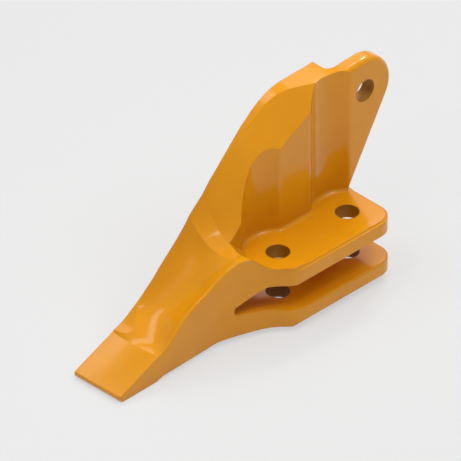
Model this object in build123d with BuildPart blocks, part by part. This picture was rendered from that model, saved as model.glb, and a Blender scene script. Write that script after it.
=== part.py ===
"""Side bucket tooth: one steel casting that clamps over a bucket's lip and bolts to its side plate.

Millimetres, +Z up. The tooth points to -X and the wing stands on the +Y side. The origin is midway
between the two lip bolts, on the flat top of the clevis where their heads sit.
"""

import os
from math import cos, radians, sin, tan

from build123d import *

os.makedirs("parts", exist_ok=True)

# Bolts: two down through the lip, one across through the bucket's side plate.
bolt_spacing = 88.9
bolt_hole_d = 22.0
socket_r = 33.0
hole_lead_upper = 2.0
hole_lead_lower = 3.0

# Clevis: an upper and a lower ear with the slot for the lip between them.
ear_top_t = 15.5
lip_slot = 28.5
ear_bottom_t = 16.5
clevis_near_y = -35.5
rear_margin = 28.4
ear_corner_r = 20.0
slot_reach = 62.0
slot_nose_h = 14.0
slot_nose_rise = 6.0
slot_nose_top = -32.0
rim_w = 10.5
rim_h = 1.6
lip_rise = 4.2

# Tooth: cutting edge, chisel face, trough and the ridge that closes it.
reach = 204.0
chisel_len = 49.0
chisel_drop = 59.7
kink_z = -39.0
tip_t = 4.0
tooth_near_y = -1.5
ridge_front = 57.0
ridge_z = 19.5
belly = 4.9

# Wing: its outer face, the web between the sockets, and the lug.
outer_y = 57.0
web_y = 22.0
wing_top = 131.5
lead_line = 97.1
foot_inset = 3.05
lug_drop = 30.5
lug_r = 33.4
rear_lean = 30.0
side_plate_t = 21.0
lug_neck = 33.3

# Rounding left by the mould.
cusp_r = 5.0
root_r = 4.0
lug_edge_r = 5.0
step_r = 8.0
crest_r = 2.0
slot_end_r = 3.5
rim_r = 2.4
slot_edge_r = 1.2
base_edge_r = 3.0

slot_top_z = -ear_top_t
slot_floor_z = slot_top_z - lip_slot
base_z = slot_floor_z - ear_bottom_t
seat_y = outer_y - side_plate_t
front_x = -bolt_spacing / 2
rear_x = bolt_spacing + rear_margin
lean = tan(radians(rear_lean))
lug_hole_z = wing_top - lug_drop
lug_hole_x = rear_x - foot_inset + lug_hole_z * lean - lug_r / cos(radians(rear_lean))
shoulder_x = lug_hole_x - lug_neck
far = 260.0
upwards = (Align.CENTER, Align.CENTER, Align.MIN)


def side(y):
    """Drawing plane parallel to the wing, with its origin on the front bolt's axis."""
    return Plane(origin=(front_x, y, 0), x_dir=(1, 0, 0), z_dir=(0, -1, 0))


def level(z):
    """Horizontal drawing plane with its origin on the front bolt's axis."""
    return Plane(origin=(front_x, 0, z), x_dir=(1, 0, 0), z_dir=(0, 0, 1))


def across(x):
    """Drawing plane square to the tooth, x behind the front bolt's axis."""
    return Plane(origin=(front_x + x, 0, 0), x_dir=(0, 1, 0), z_dir=(1, 0, 0))


def between(start, end, *shares):
    """Points from start to end, each placed by its share of the way along and its share of the way up."""
    return [(start[0] + u * (end[0] - start[0]), start[1] + w * (end[1] - start[1])) for u, w in shares]


# The kink is where the chisel face ends. The ridge runs from its front edge to the bolt recess.
kink = (chisel_len - reach, kink_z)
tip_far = (kink[0] - 60, kink_z - 60 * (chisel_drop + kink_z) / chisel_len)
ridge = (-ridge_front, ridge_z)

# The scooped face, as four profiles side by side: the near crest, the foot of the trough's near wall,
# the valley, and one that lies outside the leading edge. Each rises to the ridge, then up the bevel.
rise_near = [kink] + between(
    kink, ridge, (0.173, 0.222), (0.347, 0.465), (0.543, 0.656), (0.717, 0.778), (0.893, 0.909), (1, 1)
)
rise_foot = [(kink[0], kink_z - 1.5)] + between(
    kink, ridge, (0.14, 0.01), (0.347, 0.2), (0.543, 0.36), (0.717, 0.52), (0.893, 0.76), (1.01, 0.93)
)
rise_valley = [(kink[0], kink_z - 2.0)] + between(
    kink, ridge, (0.12, 0.03), (0.347, 0.155), (0.543, 0.31), (0.717, 0.51), (0.893, 0.74), (1.01, 0.97)
)
rise_out = [kink] + between(
    kink, ridge, (0.13, 0.15), (0.363, 0.45), (0.541, 0.70), (0.714, 0.96), (0.867, 1.23), (1, 1.46)
)
bevel_foot = (-40.0, ridge_z)
bevel_end = (95.0, wing_top)
bevel = (bevel_foot, bevel_end)
wall_near = between(
    *bevel, (-0.02, 0), (0.115, 0.04), (0.267, 0.165), (0.484, 0.37), (0.753, 0.55), (1, 0.71)
)
wall_foot = between(
    *bevel, (-0.01, -0.02), (0.113, 0.117), (0.259, 0.38), (0.481, 0.609), (0.753, 0.788), (1, 0.947)
)
wall_valley = between(
    *bevel, (0, 0.027), (0.116, 0.209), (0.269, 0.5), (0.487, 0.732), (0.753, 0.912), (1, 1.072)
)
wall_out = between(
    *bevel, (-0.007, 0.388), (0.141, 0.563), (0.333, 0.788), (0.519, 1), (0.753, 1.188), (1, 1.353)
)

with BuildPart() as scoop:
    for y, rise, wall in (
        (tooth_near_y - 0.5, rise_near, wall_near),
        (20.0, rise_foot, wall_foot),
        (32.0, rise_valley, wall_valley),
        (outer_y + 3.0, rise_out, wall_out),
    ):
        with BuildSketch(side(y)):
            with BuildLine():
                Line(tip_far, rise[0])
                Spline(*rise)
                Line(rise[-1], wall[0])
                Spline(*wall)
                Polyline(wall[-1], (wall[-1][0], far), (tip_far[0], far), tip_far)
            make_face()
    loft()
    near_cut = scoop.faces().sort_by(Axis.Y)[0]
    extrude(near_cut, amount=80)


def headroom(x, floor_z, edge_z):
    """Section of the room above the clevis: level at floor_z, then sloping to edge_z past the near side."""
    with BuildSketch(across(x)) as section:
        Polygon(
            (60, floor_z),
            (clevis_near_y + rim_w, floor_z),
            (clevis_near_y - 5, edge_z),
            (clevis_near_y - 5, 40),
            (60, 40),
            align=None,
        )
    return section.sketch


# Tooth and clevis, drawn in plan, then hollowed down to the flat where the bolt heads sit.
rim_end = rim_h * (rim_w + 5) / rim_w
neck = (-86.0, tooth_near_y)
with BuildPart() as clevis:
    with BuildSketch(level(base_z - 10)):
        with BuildLine():
            Polyline(
                (0, clevis_near_y),
                (rear_x, clevis_near_y),
                (rear_x, outer_y),
                (0, outer_y),
                (0, web_y + 20),
                (-reach, web_y + 20),
                (-reach, tooth_near_y),
                neck,
            )
            Spline(
                neck,
                *between(neck, (0, clevis_near_y), (0.206, 0.088), (0.477, 0.309), (0.744, 0.662)),
                (0, clevis_near_y),
                tangents=[(1, 0), (1, 0)],
            )
        make_face()
    extrude(amount=ridge_z - base_z + 10)
    with Locations((front_x, 0, 0)):
        Cone(socket_r - 3, socket_r + 18.5, 25, align=upwards, mode=Mode.SUBTRACT)
    room = headroom(10, 0, rim_end)
    loft([headroom(-20, lip_rise, lip_rise), room], ruled=True, mode=Mode.SUBTRACT)
    extrude(room, amount=far, mode=Mode.SUBTRACT)
    rear = rear_x + front_x
    corners = clevis.edges().filter_by(Axis.Z).filter_by_position(Axis.X, rear - 1, rear + 1)
    fillet(corners.sort_by(Axis.Y)[0], ear_corner_r)

# The room that the bolt heads need: a socket round each bolt and the flat web between, rounded at the floor.
with BuildPart() as bay:
    with BuildSketch(level(0)) as bay_plan:
        with Locations((0, 0), (bolt_spacing, 0)):
            Circle(socket_r)
        with Locations((0, web_y)):
            Rectangle(far, 90, align=(Align.MIN, Align.MAX))
        cusps = bay_plan.vertices().filter_by_position(Axis.Y, web_y - 0.1, web_y + 0.1)
        fillet(cusps.sort_by(Axis.X)[:3], cusp_r)
    extrude(amount=far)
    foot = bay.faces().sort_by(Axis.Z)[0].edges().filter_by(Axis.X).sort_by(Axis.Y)[-1]
    fillet(foot, root_r)

# Wing plate: drawn from the side. The bay is cut from it before it joins the clevis.
lug_mid = (lug_hole_x + lug_r * cos(radians(30)), lug_hole_z + lug_r * sin(radians(30)))
lug_top = (lug_hole_x - lug_r * sin(radians(4)), lug_hole_z + lug_r * cos(radians(4)))
lug_low = (lug_hole_x + lug_r * cos(radians(rear_lean)), lug_hole_z - lug_r * sin(radians(rear_lean)))
lead_foot = (kink[0] + 56.2, kink[0] + 56.2 + lead_line)
lead_head = (wing_top - 26.4 - lead_line, wing_top - 26.4)
flat_front = (lead_head[0] + 58.0, wing_top)
strip_end = lug_low[0] - lug_low[1] * lean - lug_edge_r / cos(radians(rear_lean))
with BuildPart() as wing:
    with BuildSketch(side(web_y)):
        with BuildLine():
            Polyline(
                (60, base_z - 9.5),
                (-reach, base_z - 9.5),
                (-reach, kink_z + 9),
                (kink[0] - 4, kink_z + 9),
                kink,
            )
            Spline(
                kink,
                *between(kink, lead_foot, (0.206, 0.113), (0.413, 0.298), (0.633, 0.531), (0.819, 0.756)),
                lead_foot,
                tangents=[(1, 0.35), (1, 1)],
            )
            Line(lead_foot, lead_head)
            Spline(
                lead_head,
                *between(
                    lead_head,
                    flat_front,
                    (0.105, 0.186), (0.281, 0.496), (0.459, 0.735), (0.636, 0.898), (0.812, 0.981),
                ),
                flat_front,
                tangents=[(1, 1), (1, 0)],
            )
            Line(flat_front, (shoulder_x - 8, wing_top))
            Spline(
                (shoulder_x - 8, wing_top),
                (shoulder_x + 8, wing_top + 1.7),
                lug_top,
                tangents=[(1, 0), (cos(radians(4)), sin(radians(4)))],
            )
            ThreePointArc(lug_top, lug_mid, lug_low)
            Polyline(
                lug_low,
                (lug_low[0] - (lug_low[1] - base_z + 9.5) * lean, base_z - 9.5),
                (60, base_z - 9.5),
            )
        make_face()
    extrude(amount=web_y - outer_y)
    fillet(wing.faces().sort_by(Axis.Y)[0].edges().filter_by(GeomType.CIRCLE), lug_edge_r)
    # A low strip in front of the web leaves stock for the rounding at the floor.
    with BuildSketch(side(web_y - root_r - 2)):
        with BuildLine():
            Polyline(
                (socket_r / 2, -5),
                (socket_r / 2, 12),
                (strip_end + 12 * lean, 12),
                (strip_end - 5 * lean, -5),
                close=True,
            )
        make_face()
    extrude(amount=-(root_r + 2))


def edge_cutter(z, r, up, far_side):
    """What rounds one long edge of an ear: along the near side, round the rear corner and on to far_side."""
    turn = 1 if up else -1
    with BuildPart(mode=Mode.PRIVATE) as cutter:
        with BuildLine(level(z)) as path:
            Line((-24, clevis_near_y), (rear_x - ear_corner_r, clevis_near_y))
            RadiusArc(
                (rear_x - ear_corner_r, clevis_near_y), (rear_x, clevis_near_y + ear_corner_r), -ear_corner_r
            )
            Line((rear_x, clevis_near_y + ear_corner_r), (rear_x, far_side))
        with BuildSketch(across(-24)):
            with BuildLine():
                Polyline(
                    (clevis_near_y, z - turn * r),
                    (clevis_near_y - 1, z - turn * r),
                    (clevis_near_y - 1, z + turn * 5),
                    (clevis_near_y + r, z + turn * 5),
                    (clevis_near_y + r, z),
                )
                RadiusArc((clevis_near_y + r, z), (clevis_near_y, z - turn * r), turn * r)
            make_face()
        sweep(path=path.line)
    return cutter.part


# The casting: both bodies together, scooped, slotted for the lip, stepped for the side plate and drilled.
heel = (kink[0] + 59, base_z)
underside = [
    (-reach, -chisel_drop - tip_t),
    (kink[0] - 45.4, base_z - belly * 1.15),
    (kink[0] - 2.4, base_z - belly),
    (kink[0] + 7.4, base_z - belly / 2),
    (heel[0], base_z - belly / 5),
    (heel[0] + 20, base_z),
]
lean_foot = shoulder_x - (wing_top - slot_floor_z) * lean
with BuildPart() as tooth:
    add(clevis)
    add(wing.part - bay.part)
    add(scoop, mode=Mode.SUBTRACT)
    with BuildSketch(side(-60)):
        with BuildLine():
            Polyline((far, -90), (-far, -90), (-far, underside[0][1]), *underside, (far, base_z), (far, -90))
        make_face()
    extrude(amount=-140, mode=Mode.SUBTRACT)
    with BuildSketch(side(-60)) as slot:
        with BuildLine():
            Polyline(
                (far, slot_top_z),
                (slot_nose_top, slot_top_z),
                (-slot_reach, slot_floor_z + slot_nose_h),
                (-slot_reach, slot_floor_z + slot_nose_rise),
                (-2, slot_floor_z),
                (far, slot_floor_z),
                close=True,
            )
        make_face()
        fillet(slot.vertices().group_by(Axis.X)[0], slot_end_r)
    extrude(amount=-140, mode=Mode.SUBTRACT)
    with BuildSketch(side(seat_y)):
        with BuildLine():
            Polyline(
                (lean_foot, slot_floor_z),
                (lean_foot + (far - slot_floor_z) * lean, far),
                (far, far),
                (far, slot_floor_z),
                close=True,
            )
        make_face()
    extrude(amount=-side_plate_t - 5, mode=Mode.SUBTRACT)
    seat_edges = tooth.edges().filter_by_position(Axis.Y, seat_y - 0.1, seat_y + 0.1)
    step = seat_edges.filter_by(Axis.X, reverse=True).filter_by_position(
        Axis.X, lean_foot + front_x, shoulder_x + front_x + 5
    )
    fillet(step.sort_by(Edge.length)[-1], step_r)
    near_edges = tooth.edges().filter_by_position(Axis.Y, tooth_near_y - 0.1, tooth_near_y + 0.1)
    fillet(near_edges.filter_by(GeomType.BSPLINE).sort_by(Edge.length)[-1], crest_r)
    for cutter in (
        edge_cutter(rim_h, rim_r, True, web_y),
        edge_cutter(slot_top_z, slot_edge_r, False, seat_y),
        edge_cutter(slot_floor_z, slot_edge_r, True, outer_y),
        edge_cutter(base_z, base_edge_r, False, outer_y),
    ):
        add(cutter, mode=Mode.SUBTRACT)
    for x in (-bolt_spacing / 2, bolt_spacing / 2):
        with Locations((x, 0, 0)):
            Hole(bolt_hole_d / 2)
        for z, lead in ((slot_top_z, hole_lead_upper), (base_z, hole_lead_lower)):
            with Locations((x, 0, z)):
                Cone(bolt_hole_d / 2 + lead, bolt_hole_d / 2, lead, align=upwards, mode=Mode.SUBTRACT)
    with Locations(Location((front_x + lug_hole_x, web_y, lug_hole_z), (90, 0, 0))):
        Hole(bolt_hole_d / 2)

tooth.part.label = "tooth_casting"
export_step(tooth.part, "parts/tooth_casting.step")
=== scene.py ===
"""Side bucket tooth: paint, floor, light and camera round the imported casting. Metres, +Z up."""

import math

import bpy
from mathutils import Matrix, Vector


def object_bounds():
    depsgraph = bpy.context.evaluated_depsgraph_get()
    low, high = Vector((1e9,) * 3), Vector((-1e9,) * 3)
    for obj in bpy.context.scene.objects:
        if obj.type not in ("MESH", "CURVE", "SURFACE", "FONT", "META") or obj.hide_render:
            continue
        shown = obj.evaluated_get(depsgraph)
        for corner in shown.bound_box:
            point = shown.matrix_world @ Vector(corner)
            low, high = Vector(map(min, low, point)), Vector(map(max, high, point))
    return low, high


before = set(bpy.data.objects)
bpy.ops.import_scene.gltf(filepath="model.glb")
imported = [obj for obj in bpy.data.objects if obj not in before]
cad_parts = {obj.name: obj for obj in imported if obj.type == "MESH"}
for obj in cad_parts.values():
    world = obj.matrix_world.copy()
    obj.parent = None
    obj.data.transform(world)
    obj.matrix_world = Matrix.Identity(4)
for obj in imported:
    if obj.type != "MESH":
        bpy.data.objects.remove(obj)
CAD_LO, CAD_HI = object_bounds()

# Camera: isometric and orthographic, looking down from the tip's near side.
VIEW_AZIMUTH = -45.0
VIEW_ELEVATION = math.degrees(math.atan(1 / math.sqrt(2)))
VIEW_WIDTH = 0.4183
VIEW_TARGET = Vector((-0.0522, 0.0531, 0.00085))
VIEW_DISTANCE = 1.4
CLIP_NEAR, CLIP_FAR = 0.01, 30.0

# Paint, as linear colour. The clouding is the share of the deep and the pale shade in it.
PAINT = (0.69, 0.272, 0.004)
PAINT_DEEP = (0.63, 0.238, 0.003)
PAINT_PALE = (0.75, 0.306, 0.010)
CLOUDING = 0.35
SPECK_STRENGTH = 0.25
PAINT_GLOSSY, PAINT_DULL = 0.10, 0.17
PAINT_IOR = 1.43

# Texture scales, per metre: the clouds, the as-cast skin, the specks in the paint and its orange peel.
CLOUD_SCALE = 22.0
SKIN_SCALE = 90.0
SPECK_SCALE = 420.0
PEEL_SCALE = 650.0
SKIN_SHARE = 0.55
BUMP_STRENGTH = 0.06
BUMP_HEIGHT = 0.0004
EDGE_ROUNDING = 0.0012

# The drilled holes: a point on each axis, and what flattens an offset onto the plane across it.
BOLT_SPACING = 0.0889
LUG_HOLE = (0.08955, 0.029, 0.101)
ACROSS_Z, ACROSS_Y = (1.0, 1.0, 0.0), (1.0, 0.0, 1.0)
BORES = [
    ((-BOLT_SPACING / 2, 0.0, 0.0), ACROSS_Z),
    ((BOLT_SPACING / 2, 0.0, 0.0), ACROSS_Z),
    (LUG_HOLE, ACROSS_Y),
]
BORE_RADIUS = 0.011
BORE_FADE = (0.0002, 0.0009)
# Painted shade: the darker colour put inside the drilled holes, where little light reaches.
BORE_PAINTED_SHADE = (0.34, 0.135, 0.003)
BORE_ROUGHNESS = 0.5

# Floor and studio. What lights the casting is kept apart from what the camera and reflections see.
FLOOR_HALF = 6.0
FLOOR_GAP = 0.0002
FLOOR_ALBEDO = 0.85
FLOOR_SEEN_ALBEDO = 0.22
FLOOR_SEEN_GLOW = 0.55
WORLD_LIGHT = 0.17
WORLD_SEEN = 0.35
CASTING_MIDDLE = (-0.05, 0.01, 0.03)
TIP_MIDDLE = (-0.19, 0.03, -0.05)


def grey(value):
    """An even grey, as a colour with its alpha."""
    return (value, value, value, 1.0)


def feed(tree, value, socket):
    """Links value to the socket if it is a socket too, and sets it otherwise."""
    if isinstance(value, bpy.types.NodeSocket):
        tree.links.new(value, socket)
    else:
        socket.default_value = value


def node(tree, kind, **inputs):
    """Adds a node. A keyword names an input, with _ for a space, or is i and the input's number."""
    made = tree.nodes.new(kind)
    for key, value in inputs.items():
        numbered = key[0] == "i" and key[1:].isdigit()
        feed(tree, value, made.inputs[int(key[1:]) if numbered else key.replace("_", " ")])
    return made


def maths(tree, operation, a, b):
    """The result of one operation on two numbers."""
    made = node(tree, "ShaderNodeMath", i0=a, i1=b)
    made.operation = operation
    return made.outputs[0]


def vector_maths(tree, operation, a, b=(0.0, 0.0, 0.0), output="Vector"):
    """The result of one operation on two vectors."""
    made = node(tree, "ShaderNodeVectorMath", i0=a, i1=b)
    made.operation = operation
    return made.outputs[output]


def ramp(tree, fac, stops):
    """A colour ramp over fac. Each stop is a position and a linear colour, or a grey."""
    made = node(tree, "ShaderNodeValToRGB", Fac=fac)
    elements = made.color_ramp.elements
    while len(elements) < len(stops):
        elements.new(0.5)
    for element, (position, value) in zip(elements, stops):
        element.position = position
        element.color = (*value, 1.0) if isinstance(value, tuple) else grey(value)
    return made.outputs["Color"]


def mix(tree, share, a, b):
    """Colour a with that share of colour b. Each is a socket or a linear colour."""
    made = node(tree, "ShaderNodeMix", i0=share)
    made.data_type = "RGBA"
    for index, value in ((6, a), (7, b)):
        feed(tree, (*value, 1.0) if isinstance(value, tuple) else value, made.inputs[index])
    return made.outputs[2]


def seen_directly(tree):
    """1 for a camera, glossy or transmission ray, and 0 for the rays that carry light."""
    path = node(tree, "ShaderNodeLightPath").outputs
    found = maths(tree, "MAXIMUM", path["Is Camera Ray"], path["Is Glossy Ray"])
    return maths(tree, "MAXIMUM", found, path["Is Transmission Ray"])


def in_bore(tree, place, centre, flatten):
    """1 inside a bore whose axis runs through centre, fading to 0 just outside it."""
    offset = vector_maths(tree, "SUBTRACT", place, centre)
    across = vector_maths(tree, "MULTIPLY", offset, flatten)
    distance = vector_maths(tree, "LENGTH", across, output="Value")
    fade_start, fade_end = (BORE_RADIUS + step for step in BORE_FADE)
    mask = node(tree, "ShaderNodeMapRange", i0=distance, i1=fade_start, i2=fade_end, i3=1.0, i4=0.0)
    return mask.outputs[0]


def painted_casting():
    """Semi-gloss enamel over an as-cast skin: faint clouding, orange peel, painted shade in the drilled
    holes, and rounding of the last edges.
    """
    mat = bpy.data.materials.new("painted_casting")
    mat.use_nodes = True
    tree = mat.node_tree
    tree.nodes.clear()
    place = node(tree, "ShaderNodeTexCoord").outputs["Object"]

    # The colour hardly moves: enamel is even, and the clouding is what the eye just notices.
    cloud = node(tree, "ShaderNodeTexNoise", Vector=place, Scale=CLOUD_SCALE, Detail=3.0, Roughness=0.55)
    shades = ramp(tree, cloud.outputs["Fac"], [(0.30, PAINT_DEEP), (0.52, PAINT), (0.75, PAINT_PALE)])
    colour = mix(tree, CLOUDING, PAINT, shades)
    speck = node(tree, "ShaderNodeTexNoise", Vector=place, Scale=SPECK_SCALE, Detail=2.0, Roughness=0.6)
    speck_mask = ramp(tree, speck.outputs["Fac"], [(0.70, 0.0), (0.78, 1.0)])
    colour = mix(tree, maths(tree, "MULTIPLY", speck_mask, SPECK_STRENGTH), colour, PAINT_DEEP)

    peel = node(tree, "ShaderNodeTexNoise", Vector=place, Scale=PEEL_SCALE, Detail=2.0, Roughness=0.5)
    skin = node(tree, "ShaderNodeTexNoise", Vector=place, Scale=SKIN_SCALE, Detail=4.0, Roughness=0.6)
    rough = ramp(tree, skin.outputs["Fac"], [(0.30, PAINT_GLOSSY), (0.70, PAINT_DULL)])

    # Painted shade in the drilled holes: the colour is darkened there, and the paint is duller.
    for centre, flatten in BORES:
        inside = in_bore(tree, place, centre, flatten)
        colour = mix(tree, inside, colour, BORE_PAINTED_SHADE)
        rough = mix(tree, inside, rough, (BORE_ROUGHNESS, BORE_ROUGHNESS, BORE_ROUGHNESS))

    edge = node(tree, "ShaderNodeBevel", Radius=EDGE_ROUNDING)
    edge.samples = 6
    bump = node(
        tree,
        "ShaderNodeBump",
        Strength=BUMP_STRENGTH,
        Distance=BUMP_HEIGHT,
        Height=mix(tree, SKIN_SHARE, peel.outputs["Color"], skin.outputs["Color"]),
        Normal=edge.outputs["Normal"],
    )
    surface = node(
        tree,
        "ShaderNodeBsdfPrincipled",
        Base_Color=colour,
        Roughness=rough,
        Normal=bump.outputs["Normal"],
        IOR=PAINT_IOR,
    )
    node(tree, "ShaderNodeOutputMaterial", Surface=surface.outputs["BSDF"])
    return mat


def pale_floor():
    """A matt floor that is seen, also in reflections, as a pale ground with a soft shadow on it."""
    mat = bpy.data.materials.new("pale_floor")
    mat.use_nodes = True
    tree = mat.node_tree
    tree.nodes.clear()
    matt = node(tree, "ShaderNodeBsdfDiffuse", Color=grey(FLOOR_ALBEDO))
    shaded = node(tree, "ShaderNodeBsdfDiffuse", Color=grey(FLOOR_SEEN_ALBEDO))
    glow = node(tree, "ShaderNodeEmission", Color=grey(1.0), Strength=FLOOR_SEEN_GLOW)
    seen = node(tree, "ShaderNodeAddShader", i0=shaded.outputs[0], i1=glow.outputs[0])
    shown = node(
        tree, "ShaderNodeMixShader", Fac=seen_directly(tree), i1=matt.outputs[0], i2=seen.outputs[0]
    )
    node(tree, "ShaderNodeOutputMaterial", Surface=shown.outputs[0])
    return mat


def studio_world():
    """An even studio, whose light is kept apart from how it is seen."""
    world = bpy.data.worlds.new("studio")
    bpy.context.scene.world = world
    world.use_nodes = True
    tree = world.node_tree
    tree.nodes.clear()
    light = node(tree, "ShaderNodeBackground", Color=grey(1.0), Strength=WORLD_LIGHT)
    seen = node(tree, "ShaderNodeBackground", Color=grey(WORLD_SEEN), Strength=1.0)
    shown = node(
        tree, "ShaderNodeMixShader", Fac=seen_directly(tree), i1=light.outputs[0], i2=seen.outputs[0]
    )
    node(tree, "ShaderNodeOutputWorld", Surface=shown.outputs[0])


def area_light(name, direction, distance, size, power, target=CASTING_MIDDLE, mirrored=True):
    """A square soft light, that far from target along direction and aimed at it.

    Reflections show it only if it is mirrored.
    """
    data = bpy.data.lights.new(name, "AREA")
    data.shape = "SQUARE"
    data.size = size
    data.energy = power
    lamp = bpy.data.objects.new(name, data)
    lamp.visible_glossy = mirrored
    bpy.context.scene.collection.objects.link(lamp)
    outwards = Vector(direction).normalized()
    lamp.location = Vector(target) + outwards * distance
    lamp.rotation_mode = "QUATERNION"
    lamp.rotation_quaternion = outwards.to_track_quat("Z", "Y")


def isometric_camera():
    """The photo's view. Azimuth 0 looks along +Y, and the elevation is that of an isometric drawing."""
    azimuth, elevation = math.radians(VIEW_AZIMUTH), math.radians(VIEW_ELEVATION)
    level = math.cos(elevation)
    outwards = Vector((math.sin(azimuth) * level, -math.cos(azimuth) * level, math.sin(elevation)))
    data = bpy.data.cameras.new("camera")
    data.type = "ORTHO"
    data.ortho_scale = VIEW_WIDTH
    data.clip_start = CLIP_NEAR
    data.clip_end = CLIP_FAR
    camera = bpy.data.objects.new("camera", data)
    bpy.context.scene.collection.objects.link(camera)
    camera.location = VIEW_TARGET + outwards * VIEW_DISTANCE
    camera.rotation_mode = "QUATERNION"
    camera.rotation_quaternion = (-outwards).to_track_quat("-Z", "Y")
    bpy.context.scene.camera = camera


# The casting keeps its CAD mesh and takes the paint.
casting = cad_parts["tooth_casting"]
casting.data.materials.clear()
casting.data.materials.append(painted_casting())

# Floor, just under the tooth.
bpy.ops.mesh.primitive_plane_add(size=2 * FLOOR_HALF, location=(0, 0, CAD_LO[2] - FLOOR_GAP))
floor = bpy.context.object
floor.name = "floor"
floor.data.materials.append(pale_floor())

# Light: broad from above, the key from behind the wing, and fills from the near side and the rear.
# The front fill reaches the tip, and the gloss light draws the pale patch at the foot of the trough.
studio_world()
area_light("overhead", (0.0, 0.08, 1.0), distance=1.7, size=2.2, power=24.5, mirrored=False)
area_light("key", (0.92, 0.45, 1.0), distance=3.0, size=0.55, power=25.0)
area_light("side", (0.3, -0.6, 1.0), distance=1.8, size=0.8, power=9.0)
area_light("rear", (1.0, 1.0, 0.8), distance=2.5, size=1.2, power=4.5)
area_light("front", (-0.5, -0.1, 1.0), distance=0.8, size=0.4, power=1.4, target=TIP_MIDDLE, mirrored=False)
area_light("gloss", (0.02, 0.48, 0.88), distance=1.7, size=0.55, power=2.4)

isometric_camera()
bpy.context.scene.view_settings.view_transform = "Standard"
